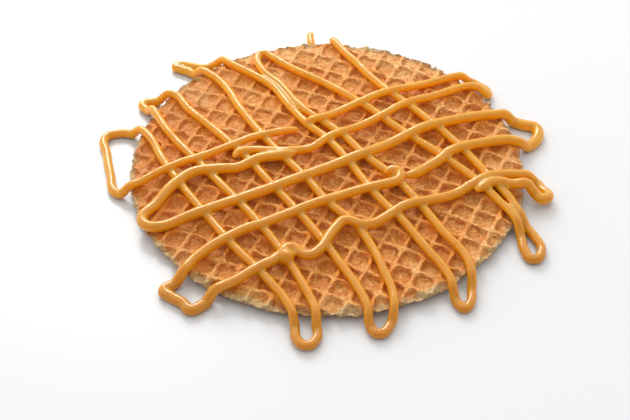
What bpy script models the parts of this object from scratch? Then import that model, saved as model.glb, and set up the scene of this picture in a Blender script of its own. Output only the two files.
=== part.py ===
"""Stroopwafel: a round baked wafer with a square waffle relief, and four threads of caramel on it.

The wafer lies on the plane Z = 0 with its centre over the origin. All sizes and routes below are in
millimetres, and MM turns them into Blender's metres.
"""
import math

import bmesh
import bpy
import numpy as np

MM = 0.001
OBJECT_NAME = "stroopwafel"

# The wafer
WAFER_RADIUS = 50.0
WAFER_THICKNESS = 3.2
RIM_SIDES = 72
RIM_BEVEL = 0.7
RIM_WAVES = ((3, 0.14, 0.6), (7, 0.12, 2.1), (16, 0.12, 4.0))   # waves round the rim, height, phase

# The square relief that the waffle iron presses into the top
CELL_PITCH = 5.43
GRID_CELLS = 20
GRID_TURN = math.radians(-24.0)
GRID_SHIFT = (1.3, 1.65)          # where a ridge crossing lies, along the turned grid's own axes
RIDGE_WIDTH = 1.0
WALL_RUN = 0.8
POCKET_DEPTH = 1.1

# The caramel threads
THREAD_RADIUS = 0.9
GAP = 0.3                         # kept between solids that touch
PATH_STEP = 0.25                  # spacing of the points on a thread's smooth path
STRAIGHT_STEP = 8.0               # longest and shortest facet of a finished tube
BEND_STEP = 0.9
BEND_ANGLE = math.radians(30.0)
TIP_SCALE = 0.5
HUMP_REACH = 9.0                  # how far from a crossing the upper thread starts to rise
HUMP_SPREAD = 5.0
SIDE_LOOP = 15.0                  # the zigzag's start, which the left stroke runs into

# Height of a thread's centre by its distance from the wafer's centre: it rests on the ridges,
# bends over the rim and drops to the table.
TOP_HEIGHT = WAFER_THICKNESS + GAP + THREAD_RADIUS
TABLE_HEIGHT = THREAD_RADIUS + 0.1
DRAPE_RADII = (49.9, 50.7, 51.4, 51.9, 52.4)
DRAPE_HEIGHTS = (TOP_HEIGHT, TOP_HEIGHT - 0.2, 3.3, 2.0, TABLE_HEIGHT)

# Routes in plan. The pour starts as a stroke that crosses the finished zigzag, hangs over the left
# rim and then runs up and down the wafer. A third value holds the thread down at that height.
LEFT_STROKE = (
    (-7.5, 11.5), (-13, 10), (-18.5, 8), (-25, 4.5), (-31, 1), (-37, -2), (-43, -5.5), (-48, -8.8))
ZIGZAG = (
    (-52.5, -9.5), (-55.3, -2), (-57, 5.5), (-58, 12), (-54.5, 13.8), (-51, 13.2),
    (-48, 11.5), (-41.5, -0.5), (-36, -10), (-29.5, -20), (-22.8, -30), (-15, -40), (-8.8, -49.8),
    (-7.7, -53.5), (-7.3, -57), (-5, -59), (-2.8, -57), (-2.8, -53),
    (-3.2, -50), (-5, -45), (-10.3, -33.5), (-15.5, -24.5), (-21.3, -16), (-31, -3), (-40.5, 9.8),
    (-47, 20.5), (-49.5, 24), (-50.3, 26.8), (-48.3, 28.3), (-44.8, 27.5), (-41.3, 26.3),
    (-36.5, 20), (-32, 15), (-25.5, 7.3), (-21, 1.8), (-14.5, -8), (-9.5, -15.3), (-3.3, -25), (2.3, -35),
    (7.3, -45), (9, -50), (9.3, -53), (11.5, -55.5), (14, -53),
    (15, -49.8), (14.8, -45), (13.5, -40), (10.2, -30), (6.5, -22.5), (0.5, -15.8), (-5, -7), (-11.5, 2),
    (-17.5, 11), (-22.7, 20), (-28, 30), (-32, 35),
    (-34.8, 37.3), (-37.5, 39.3), (-40.5, 40.8), (-42.8, 42), (-41, 43.4), (-38, 43), (-33, 41.8),
    (-30.8, 42.8), (-28.8, 41.8), (-26, 39.3), (-20, 34.8), (-14.4, 29.5), (-11.8, 25), (-9, 20),
    (-4.5, 13.5), (0, 8.5), (5, 0.5), (10, -9), (13.5, -15), (17.8, -21), (22.8, -30), (28.2, -40),
    (28.7, -44.5), (29.3, -47.2), (31, -48.5), (32.8, -47), (33.4, -43.5),
    (33, -35), (27.5, -25), (22, -14.5), (17, -6.5), (9.5, 2.2), (4.8, 9), (1.2, 13), (-3, 17),
    (-6.3, 20.5), (-9.5, 25.3), (-12.3, 30.2), (-16, 34.5), (-18.3, 38.5), (-19, 42), (-17.8, 44.2),
    (-14.5, 42), (-10, 38), (0, 30.8), (5, 26.5), (12, 20), (18.2, 13), (30, 1.2), (38, -8.2),
    (42.3, -14.8), (45.8, -20.8), (47, -25), (47.3, -29), (49.2, -32.2), (51.6, -29),
    (51.2, -24), (49, -19.3), (46.8, -17), (45.2, -14), (41.5, -7.5), (36.2, 2), (31.2, 10), (27.8, 14.5),
    (21.8, 22), (16, 28.5), (11.3, 35), (8.3, 40), (4.9, 45), (2.6, 49.3),
    (1.2, 51.9), (-0.8, 52.1, 1.0), (-3.2, 52.8, 1.0), (-4.4, 54.8, 1.0), (-4.3, 57.3, 1.0))
BACK_STROKE = (
    (-5.5, 14), (0, 16.3), (5, 19.6), (10, 22.8), (15, 25.8), (20, 27.8), (25, 29.8), (30, 32),
    (34.5, 33.8), (37.2, 34.6), (39.3, 35), (42, 33), (44, 30.3), (43.2, 28.6),
    (41.3, 29.4), (38.8, 29.9), (33, 27.7), (27, 24.5), (21, 21.6), (15, 17), (9, 12.8), (3, 9.4),
    (0, 7.6), (-4, 4.1), (-7, 3.1), (-14, 2.5), (-20, 2.8), (-22.8, 1.9), (-23.8, -0.3))
MIDDLE_STROKE = (
    (-10, 0), (-16, -0.8), (-19.3, -1.8), (-21.8, -4.5), (-25, -5.2), (-30, -5), (-35, -6.1),
    (-38.3, -10), (-42.8, -17), (-45.3, -20.8), (-43.9, -23.5), (-40.8, -23.9), (-35, -21.4),
    (-20, -14.2), (-10, -9.1), (0, -3.5), (10, 1.9), (20, 8.3), (25, 11.5), (30, 13.7), (40, 17.4),
    (45, 18), (47.8, 18.6), (49.8, 18), (52.3, 17), (55.3, 15.8), (55.6, 13), (54.3, 10.2),
    (52.3, 8.3), (50, 7.2), (47.3, 7.9), (44.8, 7.7),
    (39.8, 6.1), (35, 4.1), (31, 1.9), (28, -0.7), (25, -3.1), (20.7, -6.3))
FRONT_STROKE = (
    (13.2, -6.4), (14.7, -4.3), (16.5, -3.7), (18, -4.8), (18.2, -6.9), (16.8, -8.7), (14.5, -9.5),
    (10, -10.7), (5, -13.1), (-5, -17.8), (-15, -23.3), (-20, -25.7), (-24, -28.3), (-30, -33),
    (-32, -35.2), (-33.3, -37.3), (-35, -39.3), (-37, -40.8), (-38.5, -42.3), (-36.5, -44.3),
    (-33.6, -46.3), (-31.9, -48.3), (-29.4, -47), (-27.3, -45), (-25.2, -43.7), (-22, -42.2),
    (-16, -38), (-13, -36.2), (-11.3, -34.2), (-10, -32.2), (-8.3, -31.8), (-6.5, -33.6),
    (-4.5, -34.3), (-2.5, -33), (0.5, -27.5), (2.3, -24.5), (3.8, -22.8), (5.5, -22.8), (8, -24),
    (11, -23.8), (13.5, -22), (16, -19.8), (19, -17.6), (25, -15.5), (31, -13.1), (37, -9.1),
    (40, -7.2), (43, -6.3), (48.6, -5.7), (50.7, -5.3), (52.8, -5.8), (54, -8), (55.2, -11.2),
    (53.6, -12.8), (51.7, -10.9), (49.6, -10), (46.3, -10), (43.3, -9.1), (40.8, -9.4),
    (38.6, -10.9), (36.6, -12.4))


def make_material(name, color, roughness):
    material = bpy.data.materials.new(name)
    material.use_nodes = True
    shader = material.node_tree.nodes["Principled BSDF"]
    shader.inputs["Base Color"].default_value = color
    shader.inputs["Roughness"].default_value = roughness
    shader.inputs["Metallic"].default_value = 0.0
    return material


def make_collection(name):
    collection = bpy.data.collections.new(name)
    bpy.context.scene.collection.children.link(collection)
    return collection


def mesh_object(name, bm, collection, material=None):
    mesh = bpy.data.meshes.new(name)
    bm.to_mesh(mesh)
    bm.free()
    piece = bpy.data.objects.new(name, mesh)
    collection.objects.link(piece)
    if material:
        mesh.materials.append(material)
    return piece


def rim_radius(angle):
    """Radius of the wafer's edge: a circle with a few shallow waves, as a hand-cut edge has."""
    waves = sum(height * math.cos(count * angle + phase) for count, height, phase in RIM_WAVES)
    return WAFER_RADIUS + waves


def wafer_disc(collection, material):
    """Plain disc with bevelled edges; it stands a little higher than the relief that trims its top."""
    bm = bmesh.new()
    height = WAFER_THICKNESS + GAP
    bmesh.ops.create_cone(bm, cap_ends=True, segments=RIM_SIDES, radius1=WAFER_RADIUS,
                          radius2=WAFER_RADIUS, depth=height)
    bmesh.ops.translate(bm, verts=bm.verts, vec=(0, 0, height / 2))
    rings = [edge for edge in bm.edges if len({round(vert.co.z, 3) for vert in edge.verts}) == 1]
    bmesh.ops.bevel(bm, geom=rings, offset=RIM_BEVEL, segments=1, affect="EDGES")
    for vert in bm.verts:
        angle = math.atan2(vert.co.y, vert.co.x)
        scale = rim_radius(angle) / WAFER_RADIUS
        vert.co.x *= scale
        vert.co.y *= scale
    bmesh.ops.scale(bm, vec=(MM, MM, MM), verts=bm.verts)
    return mesh_object("wafer", bm, collection, material)


def grid_line(index):
    """Place of a grid line: a ridge has one along each side, and ridges lie one pitch apart."""
    ridge, side = divmod(index, 2)
    return (ridge - GRID_CELLS / 2) * CELL_PITCH + (side - 0.5) * RIDGE_WIDTH


def waffle_relief(collection):
    """Slab whose top is the waffle grid, with a slope-walled pocket between the ridges in each cell."""
    bm = bmesh.new()
    bmesh.ops.create_grid(bm, x_segments=2 * GRID_CELLS, y_segments=2 * GRID_CELLS, size=GRID_CELLS)
    for vert in bm.verts:
        vert.co.x = grid_line(round(vert.co.x + GRID_CELLS))
        vert.co.y = grid_line(round(vert.co.y + GRID_CELLS))
    outline = [edge for edge in bm.edges if edge.is_boundary]
    cells = [face for face in bm.faces
             if min(edge.calc_length() for edge in face.edges) > RIDGE_WIDTH * 1.1]
    bmesh.ops.inset_individual(bm, faces=cells, thickness=WALL_RUN, depth=-POCKET_DEPTH)
    skirt = bmesh.ops.extrude_edge_only(bm, edges=outline)["geom"]
    bmesh.ops.translate(bm, verts=[item for item in skirt if isinstance(item, bmesh.types.BMVert)],
                        vec=(0, 0, -2 * WAFER_THICKNESS))
    bmesh.ops.contextual_create(bm, geom=[item for item in skirt if isinstance(item, bmesh.types.BMEdge)])
    bmesh.ops.recalc_face_normals(bm, faces=bm.faces)
    bmesh.ops.translate(bm, verts=bm.verts, vec=(*GRID_SHIFT, WAFER_THICKNESS))
    bmesh.ops.scale(bm, vec=(MM, MM, MM), verts=bm.verts)
    slab = mesh_object("waffle_relief", bm, collection)
    slab.rotation_euler.z = GRID_TURN
    slab.hide_render = True
    slab.display_type = "WIRE"
    return slab


def make_wafer(parts, cutters, material):
    wafer = wafer_disc(parts, material)
    trim = wafer.modifiers.new("relief", "BOOLEAN")
    trim.operation = "INTERSECT"
    trim.object = waffle_relief(cutters)
    return wafer


def smooth_plan(points):
    """Evenly spaced points on a Catmull-Rom curve through the route, with any heights that it holds."""
    route = np.array([(*point, math.nan)[:3] for point in points], float)
    plan = route[:, :2]
    plan = np.vstack([2 * plan[0] - plan[1], plan, 2 * plan[-1] - plan[-2]])
    knots = np.concatenate([[0], np.cumsum(np.sqrt(np.linalg.norm(np.diff(plan, axis=0), axis=1)))])
    curve, held = [], []
    for i in range(1, len(plan) - 2):
        t0, t1, t2, t3 = knots[i - 1:i + 3]
        p0, p1, p2, p3 = plan[i - 1:i + 3]
        count = max(2, int(np.linalg.norm(p2 - p1) / PATH_STEP))
        t = np.linspace(t1, t2, count, endpoint=False)[:, None]
        a1 = (t1 - t) / (t1 - t0) * p0 + (t - t0) / (t1 - t0) * p1
        a2 = (t2 - t) / (t2 - t1) * p1 + (t - t1) / (t2 - t1) * p2
        a3 = (t3 - t) / (t3 - t2) * p2 + (t - t2) / (t3 - t2) * p3
        b1 = (t2 - t) / (t2 - t0) * a1 + (t - t0) / (t2 - t0) * a2
        b2 = (t3 - t) / (t3 - t1) * a2 + (t - t1) / (t3 - t1) * a3
        curve.append((t2 - t) / (t2 - t1) * b1 + (t - t1) / (t2 - t1) * b2)
        held.append(np.linspace(route[i - 1, 2], route[i, 2], count, endpoint=False))
    return np.vstack([*curve, plan[-2]]), np.append(np.concatenate(held), route[-1, 2])


def lay_thread(plan, held, below=None):
    """Give a path its heights: on the wafer, over the rim, and over the threads that it crosses."""
    height = np.interp(np.hypot(plan[:, 0], plan[:, 1]), DRAPE_RADII, DRAPE_HEIGHTS)
    if below is not None:
        stack = 2 * THREAD_RADIUS + GAP + 0.2
        apart = np.linalg.norm(plan[:, None, :] - below[None, :, :2], axis=2)
        edge = math.exp(-(HUMP_REACH / HUMP_SPREAD) ** 2)
        hump = stack * (np.exp(-(apart / HUMP_SPREAD) ** 2) - edge) / (1 - edge)
        over = np.where(apart < HUMP_REACH, below[None, :, 2] + hump, 0).max(axis=1)
        height = np.maximum(height, over)
    height = np.where(np.isnan(held), height, held)
    window = 7
    height = np.convolve(np.pad(height, window // 2, mode="edge"), np.ones(window) / window, mode="valid")
    return np.column_stack([plan, height])


def tube_points(path):
    """Thin a dense path: long facets on straight runs, short ones where it bends."""
    keep = [0]
    travelled, turned = 0.0, 0.0
    for i in range(1, len(path) - 1):
        before, after = path[i] - path[i - 1], path[i + 1] - path[i]
        travelled += np.linalg.norm(before)
        cosine = np.dot(before, after) / (np.linalg.norm(before) * np.linalg.norm(after))
        turned += math.acos(max(-1.0, min(1.0, cosine)))
        if travelled > STRAIGHT_STEP or (turned > BEND_ANGLE and travelled > BEND_STEP):
            keep.append(i)
            travelled, turned = 0.0, 0.0
    return path[keep + [len(path) - 1]]


def add_tip(points):
    """Add a smaller end ring just past each end, so that the thread closes with a rounded tip."""
    start, end = points[0] - points[1], points[-1] - points[-2]
    first = points[0] + start / np.linalg.norm(start) * THREAD_RADIUS / 2
    last = points[-1] + end / np.linalg.norm(end) * THREAD_RADIUS / 2
    return np.vstack([first, points, last])


def make_thread(name, path, collection, material):
    points = add_tip(tube_points(path))
    curve = bpy.data.curves.new(name, "CURVE")
    curve.dimensions = "3D"
    curve.bevel_depth = THREAD_RADIUS * MM
    curve.bevel_resolution = 1
    curve.use_fill_caps = True
    spline = curve.splines.new("POLY")
    spline.points.add(len(points) - 1)
    for knot, point in zip(spline.points, points):
        knot.co = (*(point * MM), 1.0)
    for knot in (spline.points[0], spline.points[-1]):
        knot.radius = TIP_SCALE
    curve.materials.append(material)
    thread = bpy.data.objects.new(name, curve)
    collection.objects.link(thread)
    return thread


def make_drizzle(parts, material):
    plan, held = smooth_plan(LEFT_STROKE + ZIGZAG)
    turn = int(np.argmin(np.linalg.norm(plan - np.array(ZIGZAG[0]), axis=1)))
    zigzag = lay_thread(plan[turn:], held[turn:])
    crossed = zigzag[int(SIDE_LOOP / PATH_STEP):]
    left = lay_thread(plan[:turn], held[:turn], below=crossed)
    make_thread("drizzle_zigzag", np.vstack([left, zigzag]), parts, material)
    strokes = (("back", BACK_STROKE), ("middle", MIDDLE_STROKE), ("front", FRONT_STROKE))
    for name, route in strokes:
        make_thread("drizzle_" + name, lay_thread(*smooth_plan(route), below=zigzag), parts, material)


def build():
    for old in list(bpy.data.objects):
        bpy.data.objects.remove(old)
    parts = make_collection(OBJECT_NAME)
    cutters = make_collection(OBJECT_NAME + "_cutters")
    make_wafer(parts, cutters, make_material("baked_wafer", (0.56, 0.25, 0.09, 1), 0.7))
    make_drizzle(parts, make_material("caramel", (0.62, 0.26, 0.03, 1), 0.2))


build()
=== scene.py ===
import math
import bmesh
import bpy
import numpy as np
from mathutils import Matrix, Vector, kdtree, noise


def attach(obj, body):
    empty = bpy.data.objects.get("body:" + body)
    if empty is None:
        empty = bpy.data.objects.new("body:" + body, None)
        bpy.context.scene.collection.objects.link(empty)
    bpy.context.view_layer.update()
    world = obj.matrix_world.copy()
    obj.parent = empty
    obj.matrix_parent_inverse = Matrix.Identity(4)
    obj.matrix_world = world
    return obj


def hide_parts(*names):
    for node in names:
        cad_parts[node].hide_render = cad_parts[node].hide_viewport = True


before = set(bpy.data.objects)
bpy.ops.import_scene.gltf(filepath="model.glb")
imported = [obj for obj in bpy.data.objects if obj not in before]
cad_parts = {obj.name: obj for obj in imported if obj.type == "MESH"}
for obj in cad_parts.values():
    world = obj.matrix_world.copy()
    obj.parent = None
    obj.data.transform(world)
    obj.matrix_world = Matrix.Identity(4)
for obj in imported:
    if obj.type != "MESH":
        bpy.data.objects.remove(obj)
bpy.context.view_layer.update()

metresPerMm = 0.001      # every piece is modelled in millimetres and scaled once it is whole
smoothing = 0.5          # how far a smoothing round moves each point towards its neighbours


def clamp(value):
    return max(0.0, min(1.0, value))


# small helpers that stand for what a hand does in the viewport
def pick(*pieces):
    if bpy.context.object and bpy.context.object.mode != "OBJECT":
        bpy.ops.object.mode_set(mode="OBJECT")
    bpy.ops.object.select_all(action="DESELECT")
    for piece in pieces:
        piece.select_set(True)
    bpy.context.view_layer.objects.active = pieces[0]


def applyModifiers(piece):
    pick(piece)
    for modifier in list(piece.modifiers):
        bpy.ops.object.modifier_apply(modifier=modifier.name)


def selectEdges(piece, wanted):
    bpy.ops.mesh.select_mode(type="EDGE")
    bpy.ops.mesh.select_all(action="DESELECT")
    mesh = bmesh.from_edit_mesh(piece.data)
    for edge in mesh.edges:
        edge.select_set(wanted(edge))
    bmesh.update_edit_mesh(piece.data)


def markVertices(piece, name, wanted):
    group = piece.vertex_groups.new(name=name)
    group.add([vertex.index for vertex in piece.data.vertices if wanted(vertex)], 1.0, "REPLACE")


def roughen(piece, name, size, strength, direction="NORMAL", group=""):
    clouds = bpy.data.textures.new(name, "CLOUDS")
    clouds.noise_scale = size
    clouds.noise_depth = 2
    bumps = piece.modifiers.new(name, "DISPLACE")
    bumps.texture = clouds
    bumps.texture_coords = "LOCAL"
    bumps.direction = direction
    bumps.strength = strength
    bumps.mid_level = 0.5
    bumps.vertex_group = group


def finishPiece(piece, name, material, angle=None):
    pick(piece)
    piece.name = piece.data.name = name
    bpy.ops.transform.resize(value=(metresPerMm,) * 3, center_override=(0, 0, 0))
    bpy.ops.object.transform_apply(location=True, rotation=True, scale=True)
    if angle is None:
        bpy.ops.object.shade_smooth()
    else:
        bpy.ops.object.shade_smooth_by_angle(angle=math.radians(angle))
    piece.data.materials.clear()
    piece.data.materials.append(material)
    piece.vertex_groups.clear()
    return piece


# materials are wired with these three
def startMaterial(name):
    material = bpy.data.materials.new(name)
    material.use_nodes = True
    tree = material.node_tree
    return material, tree, tree.nodes["Principled BSDF"]


def addNode(tree, kind, inputs=None, **settings):
    node = tree.nodes.new("ShaderNode" + kind)
    for name, value in settings.items():
        setattr(node, name, value)
    for name, value in (inputs or {}).items():
        if isinstance(value, bpy.types.NodeSocket):
            tree.links.new(value, node.inputs[name])
        else:
            node.inputs[name].default_value = value
    return node


def mixColours(tree, factor, first, second):
    node = tree.nodes.new("ShaderNodeMix")
    node.data_type = "RGBA"
    sockets = [socket for socket in node.inputs if socket.type == "RGBA"]
    for socket, value in ((node.inputs[0], factor), (sockets[0], first), (sockets[1], second)):
        if isinstance(value, bpy.types.NodeSocket):
            tree.links.new(value, socket)
        else:
            socket.default_value = value
    return [socket for socket in node.outputs if socket.type == "RGBA"][0]


def ramp(tree, value, low, high, toLow=0.0, toHigh=1.0):
    node = addNode(tree, "MapRange", {"Value": value, "From Min": low, "From Max": high,
                                      "To Min": toLow, "To Max": toHigh})
    return node.outputs["Result"]


def calculate(tree, operation, first, second=0.0):
    node = addNode(tree, "Math", operation=operation)
    for socket, value in zip(node.inputs, (first, second)):
        if isinstance(value, bpy.types.NodeSocket):
            tree.links.new(value, socket)
        else:
            socket.default_value = value
    return node.outputs[0]


def clouds(tree, place, size, detail=4.0, roughness=0.55, distortion=0.0):
    node = addNode(tree, "TexNoise", {"Vector": place, "Scale": 1.0 / (size * metresPerMm), "Detail": detail,
                                      "Roughness": roughness, "Distortion": distortion})
    return node.outputs["Fac"]


# the baked wafer
wafer = {
    "radius": 50.0,
    "thickness": 3.2,
    "cells": 20,                    # along each side of the baked sheet that the disc is cut from
    "pitch": 5.43,
    "turn": -24.0,
    "shift": (1.3, 2.2),            # places a ridge crossing, along the turned sheet's own axes
    "bow": (-8.0, 0.0014),          # the iron's lines sag towards the front, away from this middle
    "topInsets": ((0.30, 0), (0.68, -1.15), (0.7, -0.08)),  # half a ridge, the pocket's wall, its floor
    "filled": 0.45,                 # share of a pocket's depth that is filled at most
    "filledTowards": (-0.6, 0.8),   # the pockets are shallower this way
    "filledMiddle": 0.1,            # and by this share of that in the disc's middle
    "backInsets": ((0.6, 0), (0.9, 0.5)),
    "sunkFrom": 0.1,                # the underside's pockets begin this far up
    "fineness": (2, 1),             # rounds of subdivision, top and underside
    "roundingRounds": 3,
    "swell": (9.0, 0.6),            # lump size and height, as in the next five
    "dents": (2.2, 0.9),
    "crumb": (0.8, 0.55),
    "backCrumb": (1.5, 0.2),
    "brokenRim": (1.7, 1.4),
    "crumblyRim": (0.6, 0.9),
    "frontReach": 1.2,              # the disc runs this much further out at the front
    "undercut": 2.1,                # how far the rim's foot draws in
    "undercutShare": 0.68,          # of the thickness
    "rimSides": 720,
    "rimRings": 12,
    "rimWaves": ((3, 0.14, 0.6), (7, 0.12, 2.1), (16, 0.12, 4.0)),   # count, height, phase
    "rimRounding": 0.5,
    "rimRoundingPower": 6,          # keeps the rounding near the top edge
    "smoothAngle": 50,
    "pocketColour": (0.66, 0.240, 0.032, 1),
    "ridgeColour": (0.85, 0.385, 0.080, 1),
    # a dark toasted colour, also used as painted shade on the steep pocket walls
    "toastAndShadeColour": (0.52, 0.130, 0.012, 1),
    "bareColour": (0.88, 0.530, 0.190, 1),
    "rimColour": (1.0, 0.700, 0.330, 1),
    # painted light: orange glow and tinted shade beside the threads
    "paintedGlowColour": (0.92, 0.270, 0.006, 1),
    "paintedGlowReach": 2.1,
    # cloud patterns: size in mm, detail, roughness, distortion
    "lumps": (2.0, 3.0, 0.6),
    "speckle": (0.8, 4.0, 0.75),
    "mottle": (3.5, 4.0, 0.6, 0.4),
    "patch": (14.0, 3.0, 0.5, 0.6),
    # ramps: from, to, and the values there if they aren't 0 and 1; places are in metres
    "ridgeHeights": (0.0022, 0.0031),
    "ridgeWear": (0.35, 0.6, 0.3, 1.0),
    "wallSlope": (0.92, 0.62),
    "wallShare": 0.65,
    "nearRim": (0.034, 0.050, -0.10, 0.13),
    # painted sheen: paler patches towards the back
    "sheenTowardsBack": (0.0, 0.045, 0.0, 0.12),
    "barePatches": (0.52, 0.72),
    "bareBreaks": (0.38, 0.62, 0.1, 0.9),
    "toastedPatches": (0.3, 0.7, 0.45, 0.0),
    "paleSpecks": (0.53, 0.64, 0.0, 0.8),
    "darkSpecks": (0.46, 0.37, 0.0, 0.7),
    "darkerTowardsLeft": (-0.022, -0.042, 0.0, 0.42),
    "rimRaggedness": 0.003,
    "rimBand": (0.0502, 0.0514),
    "rimHeights": (0.0008, 0.0022, 0.35, 1.0),
    "rimGaps": (0.47, 0.38, 0.0, 0.75),
    "rimGrain": (0.0, 1.0, 1.0, 4.5),
    "paintedGlowStrength": (0.0, 1.0, 0.0, 0.85),
    "roughness": (0.35, 0.65, 0.7, 0.34),
    "lumpHeight": 0.0012,
    "grainHeight": 0.0005,
    "specular": 0.4,
}


def pressedSheet(name, height, insets, levels):
    side = wafer["cells"] * wafer["pitch"]
    bpy.ops.mesh.primitive_grid_add(x_subdivisions=wafer["cells"], y_subdivisions=wafer["cells"], size=side,
                                    location=(*wafer["shift"], height))
    sheet = bpy.context.object
    sheet.name = name
    bpy.ops.object.transform_apply(location=True, rotation=False, scale=False)
    bpy.ops.object.mode_set(mode="EDIT")
    bpy.ops.mesh.select_all(action="SELECT")
    for width, depth in insets:
        bpy.ops.mesh.inset(thickness=width, depth=depth, use_individual=True)
    bpy.ops.object.mode_set(mode="OBJECT")
    sheet.rotation_euler.z = math.radians(wafer["turn"])
    bpy.ops.object.transform_apply(location=False, rotation=True, scale=False)
    middle, sag = wafer["bow"]
    for vertex in sheet.data.vertices:
        vertex.co.y -= sag * (vertex.co.x - middle) ** 2
    # finer faces, then the dough rounds every ridge
    finer = sheet.modifiers.new("finer", "SUBSURF")
    finer.subdivision_type = "SIMPLE"
    finer.levels = finer.render_levels = levels
    rounding = sheet.modifiers.new("rounding", "SMOOTH")
    rounding.factor = smoothing
    rounding.iterations = wafer["roundingRounds"]
    applyModifiers(sheet)
    return sheet


def bakedSheet():
    top = pressedSheet("top", wafer["thickness"], wafer["topInsets"], wafer["fineness"][0])
    back = pressedSheet("back", 0, wafer["backInsets"], wafer["fineness"][1])
    # it rises a little unevenly, and its skin is rough
    roughen(top, "swell", *wafer["swell"], "Z")
    roughen(top, "dents", *wafer["dents"], "RGB_TO_XYZ")
    roughen(top, "crumb", *wafer["crumb"], "Z")
    applyModifiers(top)
    towardsX, towardsY = wafer["filledTowards"]
    for vertex in top.data.vertices:
        share = (towardsY * vertex.co.y + towardsX * vertex.co.x) / wafer["radius"]
        filled = wafer["filled"] * clamp(share + wafer["filledMiddle"])
        vertex.co.z += filled * max(0.0, wafer["thickness"] - vertex.co.z)
    markVertices(back, "sunk", lambda vertex: vertex.co.z > wafer["sunkFrom"])
    roughen(back, "backCrumb", *wafer["backCrumb"], "Z", "sunk")
    applyModifiers(back)
    pick(top, back)
    bpy.ops.object.join()
    bpy.ops.object.mode_set(mode="EDIT")
    selectEdges(top, lambda edge: edge.is_boundary)
    bpy.ops.mesh.bridge_edge_loops()
    bpy.ops.mesh.select_all(action="SELECT")
    bpy.ops.mesh.normals_make_consistent(inside=False)
    bpy.ops.object.mode_set(mode="OBJECT")
    return top


def frontShare(y):
    return (min(0.0, y) / wafer["radius"]) ** 2


def discCutter():
    height = wafer["thickness"] * 2
    bpy.ops.mesh.primitive_cylinder_add(vertices=wafer["rimSides"], radius=wafer["radius"], depth=height,
                                        location=(0, 0, wafer["thickness"] / 2))
    cutter = bpy.context.object
    bpy.ops.object.transform_apply(location=True, rotation=False, scale=False)
    bpy.ops.object.mode_set(mode="EDIT")
    selectEdges(cutter, lambda edge: abs(edge.verts[0].co.z - edge.verts[1].co.z) > wafer["thickness"])
    bpy.ops.mesh.subdivide(number_cuts=2 * wafer["rimRings"])
    bpy.ops.object.mode_set(mode="OBJECT")
    foot, share = wafer["undercut"], wafer["undercutShare"]
    for vertex in cutter.data.vertices:
        angle = math.atan2(vertex.co.y, vertex.co.x)
        waves = sum(size * math.cos(count * angle + phase) for count, size, phase in wafer["rimWaves"])
        level = clamp(vertex.co.z / wafer["thickness"])
        draw = wafer["rimRounding"] * level ** wafer["rimRoundingPower"]
        draw += foot * max(0.0, share - level) / share
        scale = (wafer["radius"] + waves - draw) / wafer["radius"]
        vertex.co.x *= scale
        vertex.co.y *= scale
        vertex.co.y -= wafer["frontReach"] * frontShare(vertex.co.y)
    roughen(cutter, "broken", *wafer["brokenRim"])
    roughen(cutter, "crumbly", *wafer["crumblyRim"])
    applyModifiers(cutter)
    return cutter


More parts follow.
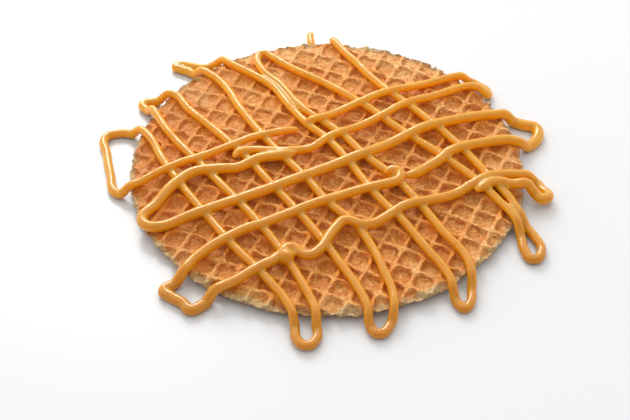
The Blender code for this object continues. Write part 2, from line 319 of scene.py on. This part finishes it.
def makeWaferMaterial():
    material, tree, shader = startMaterial("bakedWafer")
    place = addNode(tree, "TexCoord").outputs["Object"]
    x, y, z = addNode(tree, "SeparateXYZ", {"Vector": place}).outputs
    normal = addNode(tree, "NewGeometry").outputs["Normal"]
    upright = calculate(tree, "ABSOLUTE", addNode(tree, "SeparateXYZ", {"Vector": normal}).outputs["Z"])
    lumps, speckle, mottle, patch = (
        clouds(tree, place, *wafer[name]) for name in ("lumps", "speckle", "mottle", "patch"))
    ridge = calculate(tree, "MULTIPLY", ramp(tree, z, *wafer["ridgeHeights"]),
                      ramp(tree, lumps, *wafer["ridgeWear"]))
    # painted shade: steep pocket walls take the dark toasted colour, partly their own browner tone and
    # partly the shade that falls in the pockets
    wall = calculate(tree, "MULTIPLY", ramp(tree, upright, *wafer["wallSlope"]), wafer["wallShare"])
    flat = addNode(tree, "CombineXYZ", {"X": x, "Y": y}).outputs["Vector"]
    fromMiddle = addNode(tree, "VectorMath", {0: flat}, operation="LENGTH").outputs["Value"]
    # bare dough shows through in patches, most of all near the rim; the patches also grow towards the back,
    # a painted sheen
    nearRimWithBackSheen = calculate(tree, "ADD", ramp(tree, fromMiddle, *wafer["nearRim"]),
                         ramp(tree, y, *wafer["sheenTowardsBack"]))
    bare = ramp(tree, calculate(tree, "ADD", patch, nearRimWithBackSheen), *wafer["barePatches"])
    bare = calculate(tree, "MULTIPLY", bare, ramp(tree, mottle, *wafer["bareBreaks"]))
    # the rim is pale and crumbly, with darker gaps
    ragged = calculate(tree, "MULTIPLY", mottle, wafer["rimRaggedness"])
    edge = ramp(tree, calculate(tree, "ADD", fromMiddle, ragged), *wafer["rimBand"])
    edge = calculate(tree, "MULTIPLY", edge, ramp(tree, z, *wafer["rimHeights"]))
    gaps = calculate(tree, "MULTIPLY", edge, ramp(tree, speckle, *wafer["rimGaps"]))
    # painted light: the orange glow beside the threads
    glowBesideThreads = addNode(tree, "Attribute", attribute_name="glowBesideThreads").outputs["Fac"]
    # each layer covers the ones before it, from the pockets up
    layers = (
        (ridge, "ridgeColour"),
        (wall, "toastAndShadeColour"),
        (bare, "bareColour"),
        (ramp(tree, mottle, *wafer["toastedPatches"]), "toastAndShadeColour"),
        (ramp(tree, speckle, *wafer["paleSpecks"]), "bareColour"),
        (ramp(tree, speckle, *wafer["darkSpecks"]), "toastAndShadeColour"),
        # darker towards the left
        (ramp(tree, x, *wafer["darkerTowardsLeft"]), "toastAndShadeColour"),
        (edge, "rimColour"),
        (gaps, "toastAndShadeColour"),
        (ramp(tree, glowBesideThreads, *wafer["paintedGlowStrength"]), "paintedGlowColour"))
    base = wafer["pocketColour"]
    for factor, colour in layers:
        base = mixColours(tree, factor, base, wafer[colour])
    tree.links.new(base, shader.inputs["Base Color"])
    tree.links.new(ramp(tree, speckle, *wafer["roughness"]), shader.inputs["Roughness"])
    dented = addNode(tree, "Bump", {"Height": lumps, "Strength": 1.0, "Distance": wafer["lumpHeight"]})
    rough = calculate(tree, "MULTIPLY", speckle, ramp(tree, edge, *wafer["rimGrain"]))
    grain = addNode(tree, "Bump", {"Height": rough, "Strength": 1.0, "Distance": wafer["grainHeight"],
                                   "Normal": dented.outputs["Normal"]})
    tree.links.new(grain.outputs["Normal"], shader.inputs["Normal"])
    shader.inputs["Specular IOR Level"].default_value = wafer["specular"]
    return material


def paintGlowOnWafer(disc, drizzle):
    # painted light: the dough beside the threads takes an orange colour in place of light shining through
    # the caramel and its orange-tinted shade
    tree = kdtree.KDTree(len(drizzle.data.vertices))
    for index, vertex in enumerate(drizzle.data.vertices):
        tree.insert(vertex.co, index)
    tree.balance()
    glowAmount = disc.data.attributes.new("glowBesideThreads", "FLOAT", "POINT")
    reach = wafer["paintedGlowReach"] * metresPerMm
    for vertex in disc.data.vertices:
        away = tree.find(vertex.co)[2]
        glowAmount.data[vertex.index].value = max(0.0, 1 - away / reach)


# the cut leaves folded flaps and a crumb too small to see: only the largest run of faces stays
def cleanCut(piece):
    mesh = bmesh.new()
    mesh.from_mesh(piece.data)
    bmesh.ops.triangulate(mesh, faces=mesh.faces[:])
    runs, seen = [], set()
    for start in mesh.faces:
        if start in seen:
            continue
        seen.add(start)
        run = [start]
        for face in run:         # the run grows while it is walked
            for edge in face.edges:
                neighbours = edge.link_faces if len(edge.link_faces) == 2 else []
                fresh = [other for other in neighbours if other not in seen]
                seen.update(fresh)
                run.extend(fresh)
        runs.append(run)
    runs.sort(key=len)
    stray = [face for run in runs[:-1] for face in run]
    bmesh.ops.delete(mesh, geom=stray, context="FACES")
    mesh.to_mesh(piece.data)
    mesh.free()
    print("cut cleaned:", len(stray), "stray faces gone")


def makeWafer():
    sheet, cutter = bakedSheet(), discCutter()
    cut = sheet.modifiers.new("cut", "BOOLEAN")
    cut.operation = "INTERSECT"
    cut.solver = "EXACT"
    cut.object = cutter
    applyModifiers(sheet)
    bpy.data.objects.remove(cutter)
    cleanCut(sheet)
    disc = finishPiece(sheet, "waferDisc", makeWaferMaterial(), wafer["smoothAngle"])
    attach(disc, "root")
    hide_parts("wafer")
    print("wafer done:", len(disc.data.polygons), "faces")
    return disc


# the caramel threads
caramel = {
    "zigzagRadius": 1.1,
    "backRadius": 1.12,
    "middleRadius": 1.38,
    "frontRadius": 1.3,
    "tailRadius": 1.0,
    "spread": 0.1,                  # how much wider a thread lies on the table
    "spreadFall": 2.0,              # it is fully wider once it has come down this far
    "routeFineness": 16,            # points from one knot of a route to the next
    "step": 0.4,                    # between rings along a thread
    "sides": 5,
    "unevenness": 0.07,             # how much a thread's radius swells and narrows
    "swellLength": 6.0,
    "swellSpread": 50.0,            # sets threads of unlike radius apart in the noise
    "restHeight": 4.05,             # centre of a thread that lies on the ridges
    "tableHeight": 1.15,
    "dropRadii": (49.6, 50.6, 51.4, 52.0, 52.8),
    "dropShares": (1.0, 0.95, 0.65, 0.25, 0.0),     # of the height over the table, at those radii
    "stack": 1.3,                   # an upper thread's centre above the one it crosses
    "humpReach": 9.0,
    "humpSpread": 5.0,
    "humpEase": 11.0,               # a pulled thread hardly dips between crossings
    "dropEase": 2.0,
    "sideLoop": 15.0,               # the left stroke isn't lifted over this much of its own run on
    "tipLength": 3.0,
    "tipRadius": 0.35,              # share of the thread's radius
    "tipPower": 0.5,
    "blobFineness": 3,
    "lowest": 0.02,
    "voxel": 0.3,
    "meltRounds": 8,                # smoothing rounds that melt the crossings together
    "mostTriangles": 185000,
    "bodyColour": (0.52, 0.255, 0.003, 1),
    "lightColour": (0.58, 0.295, 0.004, 1),
    # painted light: a brighter orange on the threads' sides for light glowing through them
    "sideGlowColour": (0.82, 0.385, 0.003, 1),
    "amberColour": (0.46, 0.165, 0.002, 1),
    # patterns and ramps as for the wafer
    "slow": (6.0, 3.0, 0.5),
    "fine": (0.9, 4.0, 0.6),
    "lightPatches": (0.35, 0.65),
    "sideGlowSlope": (0.97, 0.3),
    "lowHeights": (0.0038, 0.0018),
    "lowFront": (0.0, -0.03),
    "lowShare": 0.7,
    "amberFront": (0.025, -0.045, 0.0, 0.5),
    "roughness": (0.3, 0.7, 0.05, 0.13),
    "rippleStrength": 0.16,
    "rippleHeight": 0.0003,
    "glowRadius": (1.0, 0.5, 0.1),
    "glowScale": 0.0026,
    "specular": 0.5,
}
leftStroke = [
    (-7.5, 11.5), (-13, 10), (-18.5, 8), (-25, 4.5), (-31, 1), (-37, -2), (-43, -5.5), (-48, -8.8)]
zigzag = [
    (-52.5, -9.5), (-55.3, -2), (-57, 5.5), (-58, 12), (-54.5, 13.8), (-51, 13.2),
    (-48, 11.5), (-41.5, -0.5), (-36, -10), (-29.5, -20), (-22.8, -30), (-15, -40), (-8.8, -49.8),
    (-7.7, -53.5), (-7.3, -57), (-5, -59), (-2.8, -57), (-2.8, -53),
    (-3.2, -50), (-5, -45), (-10.3, -33.5), (-15.5, -24.5), (-21.3, -16), (-31, -3), (-40.5, 9.8),
    (-44.5, 17),
    (-46.8, 21.4), (-48.6, 23.6), (-49.6, 25.1), (-48.6, 26.3), (-45.3, 26.6), (-41.3, 26.5),
    (-36.5, 20), (-32, 15), (-25.5, 7.3), (-21, 1.8), (-14.5, -8), (-9.5, -15.3), (-3.3, -25), (2.3, -35),
    (7.3, -45), (9, -50), (9.3, -53), (11.5, -55.5), (14, -53),
    (15, -49.8), (14.8, -45), (13.5, -40), (10.2, -30), (6.5, -22.5), (0.5, -15.8), (-5, -7), (-11.5, 2),
    (-17.5, 11), (-22.7, 20), (-28.2, 31), (-32, 35.2),
    (-35.3, 37.6), (-38, 39.6), (-40.4, 40.8), (-42, 41.8), (-40.6, 42.8), (-38, 42.3), (-34, 41.3),
    (-31, 42), (-28.8, 41.8), (-26, 39.3), (-20, 34.8), (-14.4, 29.5), (-11.8, 25), (-9, 20), (-4.5, 13.5),
    (0, 8.5), (5, 0.5), (10, -9), (13.5, -15), (17.8, -21), (22.8, -30), (28.2, -40),
    (29.2, -44), (30.3, -46.8), (31.4, -47.8), (32.7, -46.6), (33.5, -43),
    (33, -35), (27.5, -25), (22, -14.5), (17, -6.5), (9.5, 2.2), (4.8, 9), (1.2, 13), (-3, 17), (-6.3, 20.5),
    (-9.5, 25.3), (-12.3, 30.2), (-16, 34.5), (-18.3, 38.5), (-19, 42), (-17.8, 44.2),
    (-14.5, 42), (-10, 38), (0, 30.8), (5, 26.5), (12, 20), (18.2, 13), (30, 1.2), (38, -8.2), (42.3, -14.8),
    (45.8, -20.8), (47, -25), (47.3, -29), (49.2, -32.2), (51.5, -29.3), (50.4, -24.8), (48.2, -20.6),
    (46.4, -17.4), (45.2, -14), (41.5, -7.5), (36.2, 2), (31.2, 10), (27.8, 14.5), (21.8, 22), (16, 28.5),
    (11.3, 35), (8.3, 40), (4.9, 45), (2.6, 49.3),
    (1.6, 51)]
tail = [                            # this one hugs the wafer's foot, so it has heights
    (1.5, 51, 2.2), (0.9, 50.4, 1.0), (-1.4, 50.1, 0.7), (-3.3, 50.9, 0.75), (-4.2, 53.2, 0.95),
    (-4.4, 57.2, 1.0)]
backStroke = [
    (-5.5, 14), (0, 16.3), (5, 19.6), (10, 22.8), (15, 25.8), (20, 27.8), (25, 29.8), (30, 32), (34.5, 33.8),
    (37.2, 34.6), (39.3, 35), (42, 33), (44, 30.3), (43.2, 28.6),
    (41.3, 29.4), (38.8, 29.9), (33, 27.7), (27, 24.5), (21, 21.6), (15, 17), (9, 12.8), (3, 9.4), (0, 7.6),
    (-4, 4.1), (-7, 3.1), (-14, 2.5), (-20, 2.8), (-22.8, 1.9), (-23.8, -0.3)]
middleStroke = [
    (-8, 1.6), (-13, 0.6), (-17.6, -0.5), (-19.9, -1.9), (-22.3, -3.5), (-27.7, -4.2),
    (-33.3, -5.4), (-38, -9.5),
    (-42.8, -17), (-45.3, -20.8), (-43.9, -23.5), (-40.8, -23.9), (-35, -21.4), (-20, -14.2), (-10, -9.1),
    (0, -3.5), (10, 1.9), (20, 8.3), (25, 11.5), (30, 13.7), (40, 17.4), (45, 18),
    (47.8, 18.6), (49.8, 18), (52.3, 17), (55.3, 15.8), (55.6, 13), (54.3, 10.2), (52.3, 8.3), (50, 7.2),
    (47.3, 7.9), (44.8, 7.7), (39.8, 6.1), (35, 4.1), (31, 1.9), (28.2, -1), (25.3, -3.1),
    (22.3, -5.5), (19.2, -6.9)]
frontStroke = [
    (14.5, -6.2), (15.9, -4.9), (17.6, -5.3), (18.3, -7.0), (17.1, -8.9), (14.5, -9.9), (10, -11.1),
    (5, -13.1), (-5, -17.8), (-15, -23.3), (-20, -25.7), (-24, -28.3), (-30, -33), (-32, -35.2),
    (-33.3, -37.3),
    (-35, -39.3), (-37, -40.8), (-38.5, -42.3), (-36.5, -44.3), (-33.6, -46.3), (-31.9, -48.3), (-29.4, -47),
    (-27.3, -45), (-25.2, -43.7), (-22, -42.2), (-16, -38), (-13, -36.2), (-11.3, -34.2), (-10, -32.2),
    (-8.3, -31.8), (-6.5, -33.6), (-4.5, -34.3), (-2.5, -33), (0.5, -27.5), (2.3, -24.5), (3.8, -22.8),
    (5.5, -22.8), (8, -24), (11, -23.8), (13.5, -22), (16, -19.8), (19, -17.6), (25, -15.5), (31, -13.1),
    (37, -9.1), (40, -7.2), (43, -6.3), (48.6, -5.7),
    (50.7, -5.3), (52.8, -5.8), (54, -8), (55.2, -11.2), (53.6, -12.8), (51.7, -10.9), (49.6, -10),
    (46.3, -10), (43.3, -9.1), (40.8, -9.4), (38.6, -10.9), (36.6, -12.4)]
blobs = [                           # place and radius of the thick drops on the threads
    ((-10.0, -34.9, 5.1), 2.1), ((-9.7, -35.6, 6.5), 0.8),
    ((-13.0, 1.0, 4.6), 1.2), ((-16.5, 0.8, 4.6), 1.0)]


def evenRoute(points):
    curve = bpy.data.curves.new("route", "CURVE")
    spline = curve.splines.new("BEZIER")
    spline.bezier_points.add(len(points) - 1)
    for knot, point in zip(spline.bezier_points, points):
        knot.co = (*point, 0)[:3]
        knot.handle_left_type = knot.handle_right_type = "AUTO"
    curve.resolution_u = caramel["routeFineness"]
    route = bpy.data.objects.new("route", curve)
    dense = np.array([vertex.co for vertex in route.to_mesh().vertices])
    route.to_mesh_clear()
    bpy.data.objects.remove(route)
    length = np.concatenate([[0], np.cumsum(np.linalg.norm(np.diff(dense, axis=0), axis=1))])
    even = np.arange(0, length[-1], caramel["step"])
    return np.column_stack([np.interp(even, length, dense[:, axis]) for axis in range(3)])


def evenOut(values, reach):
    window = 2 * int(reach / caramel["step"] / 2) + 1
    return np.convolve(np.pad(values, window // 2, mode="edge"), np.ones(window) / window, mode="valid")


def layDown(route, below=None):
    route = route[:, :2]
    rest, table = caramel["restHeight"], caramel["tableHeight"]
    further = wafer["frontReach"] * np.array([frontShare(y) for y in route[:, 1]])
    out = np.hypot(route[:, 0], route[:, 1]) - further
    share = np.interp(out, caramel["dropRadii"], caramel["dropShares"])
    height = evenOut(table + (rest - table) * share, caramel["dropEase"])
    if below is not None:
        apart = np.linalg.norm(route[:, None, :] - below[None, :, :2], axis=2)
        foot = math.exp(-(caramel["humpReach"] / caramel["humpSpread"]) ** 2)
        hump = caramel["stack"] * (np.exp(-(apart / caramel["humpSpread"]) ** 2) - foot) / (1 - foot)
        over = np.where(apart < caramel["humpReach"], below[None, :, 2] + hump, 0).max(axis=1)
        height = height + evenOut(np.maximum(0, over - height), caramel["humpEase"])
    return np.column_stack([route, height])


def pourThread(name, path, radius, taperStart=True, taperEnd=True):
    curve = bpy.data.curves.new(name, "CURVE")
    curve.dimensions = "3D"
    curve.bevel_depth = radius
    curve.bevel_resolution = caramel["sides"]
    curve.use_fill_caps = True
    spline = curve.splines.new("POLY")
    spline.points.add(len(path) - 1)
    for index, point in enumerate(path):
        along = index * caramel["step"]
        left = (len(path) - 1 - index) * caramel["step"]
        toTip = min(along if taperStart else math.inf, left if taperEnd else math.inf)
        tip = min(1.0, toTip / caramel["tipLength"]) ** caramel["tipPower"]
        place = Vector((along / caramel["swellLength"], radius * caramel["swellSpread"], len(name)))
        swell = 1 + caramel["unevenness"] * noise.noise(place)
        swell *= 1 + caramel["spread"] * clamp((caramel["restHeight"] - point[2]) / caramel["spreadFall"])
        spline.points[index].co = (*point, 1)
        spline.points[index].radius = swell * (caramel["tipRadius"] + (1 - caramel["tipRadius"]) * tip)
    thread = bpy.data.objects.new(name, curve)
    bpy.context.scene.collection.objects.link(thread)
    pick(thread)
    bpy.ops.object.convert(target="MESH")
    return bpy.context.object


def makeCaramelMaterial():
    material, tree, shader = startMaterial("caramel")
    place = addNode(tree, "TexCoord").outputs["Object"]
    normal = addNode(tree, "NewGeometry").outputs["Normal"]
    facing = addNode(tree, "SeparateXYZ", {"Vector": normal}).outputs["Z"]
    _, y, z = addNode(tree, "SeparateXYZ", {"Vector": place}).outputs
    slow = clouds(tree, place, *caramel["slow"])
    fine = clouds(tree, place, *caramel["fine"])
    # painted light: the sides take a brighter orange in place of light glowing through the caramel, and what
    # lies low or to the front is more amber
    low = calculate(tree, "MULTIPLY", ramp(tree, z, *caramel["lowHeights"]),
                    ramp(tree, y, *caramel["lowFront"]))
    amber = calculate(tree, "MAXIMUM", calculate(tree, "MULTIPLY", low, caramel["lowShare"]),
                      ramp(tree, y, *caramel["amberFront"]))
    layers = (
        (ramp(tree, slow, *caramel["lightPatches"]), "lightColour"),
        (ramp(tree, facing, *caramel["sideGlowSlope"]), "sideGlowColour"),
        (amber, "amberColour"))
    base = caramel["bodyColour"]
    for factor, colour in layers:
        base = mixColours(tree, factor, base, caramel[colour])
    tree.links.new(base, shader.inputs["Base Color"])
    tree.links.new(ramp(tree, fine, *caramel["roughness"]), shader.inputs["Roughness"])
    ripple = addNode(tree, "Bump", {"Height": fine, "Strength": caramel["rippleStrength"],
                                    "Distance": caramel["rippleHeight"]})
    tree.links.new(ripple.outputs["Normal"], shader.inputs["Normal"])
    shader.inputs["Subsurface Weight"].default_value = 1.0
    shader.inputs["Subsurface Radius"].default_value = caramel["glowRadius"]
    shader.inputs["Subsurface Scale"].default_value = caramel["glowScale"]
    shader.inputs["Specular IOR Level"].default_value = caramel["specular"]
    return material


def makeCaramel():
    route = evenRoute(leftStroke + zigzag)
    turn = int(np.argmin(np.linalg.norm(route[:, :2] - np.array(zigzag[0]), axis=1)))
    lower = layDown(route[turn:])
    left = layDown(route[:turn], lower[int(caramel["sideLoop"] / caramel["step"]):])
    threads = [pourThread("zigzagThread", np.vstack([left, lower]), caramel["zigzagRadius"], taperEnd=False)]
    for name, stroke in (("back", backStroke), ("middle", middleStroke), ("front", frontStroke)):
        path = layDown(evenRoute(stroke), lower)
        threads.append(pourThread(name + "Thread", path, caramel[name + "Radius"]))
    threads.append(pourThread("tailThread", evenRoute(tail), caramel["tailRadius"], False, False))
    for place, radius in blobs:
        bpy.ops.mesh.primitive_ico_sphere_add(subdivisions=caramel["blobFineness"], radius=radius,
                                              location=place)
        threads.append(bpy.context.object)
    pick(*threads)
    bpy.ops.object.join()
    drizzle = bpy.context.object
    bpy.ops.object.transform_apply(location=True, rotation=True, scale=True)
    fuse = drizzle.modifiers.new("fuse", "REMESH")
    fuse.mode = "VOXEL"
    fuse.voxel_size = caramel["voxel"]
    soften = drizzle.modifiers.new("soften", "SMOOTH")
    soften.factor = smoothing
    soften.iterations = caramel["meltRounds"]
    applyModifiers(drizzle)
    for vertex in drizzle.data.vertices:    # the loops lie flat on the table
        vertex.co.z = max(vertex.co.z, caramel["lowest"])
    faces = 2 * len(drizzle.data.polygons)
    thin = drizzle.modifiers.new("thin", "DECIMATE")
    thin.ratio = min(1.0, caramel["mostTriangles"] / faces)
    applyModifiers(drizzle)
    drizzle = finishPiece(drizzle, "caramelDrizzle", makeCaramelMaterial())
    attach(drizzle, "root")
    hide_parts("drizzle_zigzag", "drizzle_back", "drizzle_middle", "drizzle_front")
    print("caramel done:", faces, "triangles before thinning,", len(drizzle.data.polygons), "after")
    return drizzle


# floor, light and camera
studio = {
    "floorSize": 6.0,
    "floorColour": (0.63, 0.63, 0.63, 1),
    "floorRoughness": 0.25,
    "floorSpecular": 0.3,
    "skyUp": (-0.1, 0.87, 0.48),       # the sky is brightest this way and dim behind the camera
    "skyReach": (-0.35, 0.8),
    "skyStrengths": (0.60, 1.6),
    "lamps": (       # name, place, aim, size, watts, colour
        ("backLamp", (-0.16, 0.68, 0.48), (0, 0, 0), 0.42, 4.0, (1.0, 1.0, 1.0)),
    ),
    "cameraPlace": (-0.0031, -0.2575, 0.2372),
    "cameraTilt": 45.75,
    "cameraLens": 77.9,
    "cameraSensor": 36.0,
    "cameraNearest": 0.01,
}


def makeStudio():
    bpy.ops.mesh.primitive_plane_add(size=studio["floorSize"], location=(0, 0, 0))
    floor = bpy.context.object
    floor.name = "floor"
    material, _, shader = startMaterial("paleFloor")
    shader.inputs["Base Color"].default_value = studio["floorColour"]
    shader.inputs["Roughness"].default_value = studio["floorRoughness"]
    shader.inputs["Specular IOR Level"].default_value = studio["floorSpecular"]
    floor.data.materials.append(material)
    for name, place, aim, size, watts, colour in studio["lamps"]:
        lamp = bpy.data.lights.new(name, "AREA")
        lamp.shape = "DISK"
        lamp.size = size
        lamp.energy = watts
        lamp.color = colour
        holder = bpy.data.objects.new(name, lamp)
        holder.location = place
        holder.rotation_euler = (Vector(aim) - Vector(place)).to_track_quat("-Z", "Y").to_euler()
        bpy.context.scene.collection.objects.link(holder)
    world = bpy.data.worlds.new("studioLight")
    world.use_nodes = True
    tree = world.node_tree
    towards = addNode(tree, "TexCoord").outputs["Generated"]
    facing = addNode(tree, "VectorMath", {0: towards, 1: studio["skyUp"]}, operation="DOT_PRODUCT")
    strength = ramp(tree, facing.outputs["Value"], *studio["skyReach"], *studio["skyStrengths"])
    tree.nodes["Background"].inputs["Color"].default_value = (1, 1, 1, 1)
    tree.links.new(strength, tree.nodes["Background"].inputs["Strength"])
    bpy.context.scene.world = world
    lens = bpy.data.cameras.new("camera")
    lens.sensor_width = studio["cameraSensor"]
    lens.lens = studio["cameraLens"]
    lens.clip_start = studio["cameraNearest"]
    camera = bpy.data.objects.new("camera", lens)
    camera.location = studio["cameraPlace"]
    camera.rotation_euler = (math.radians(studio["cameraTilt"]), 0, 0)
    bpy.context.scene.collection.objects.link(camera)
    bpy.context.scene.camera = camera
    bpy.context.scene.view_settings.view_transform = "Standard"
    print("studio done")


makeStudio()
waferDisc = makeWafer()
paintGlowOnWafer(waferDisc, makeCaramel())
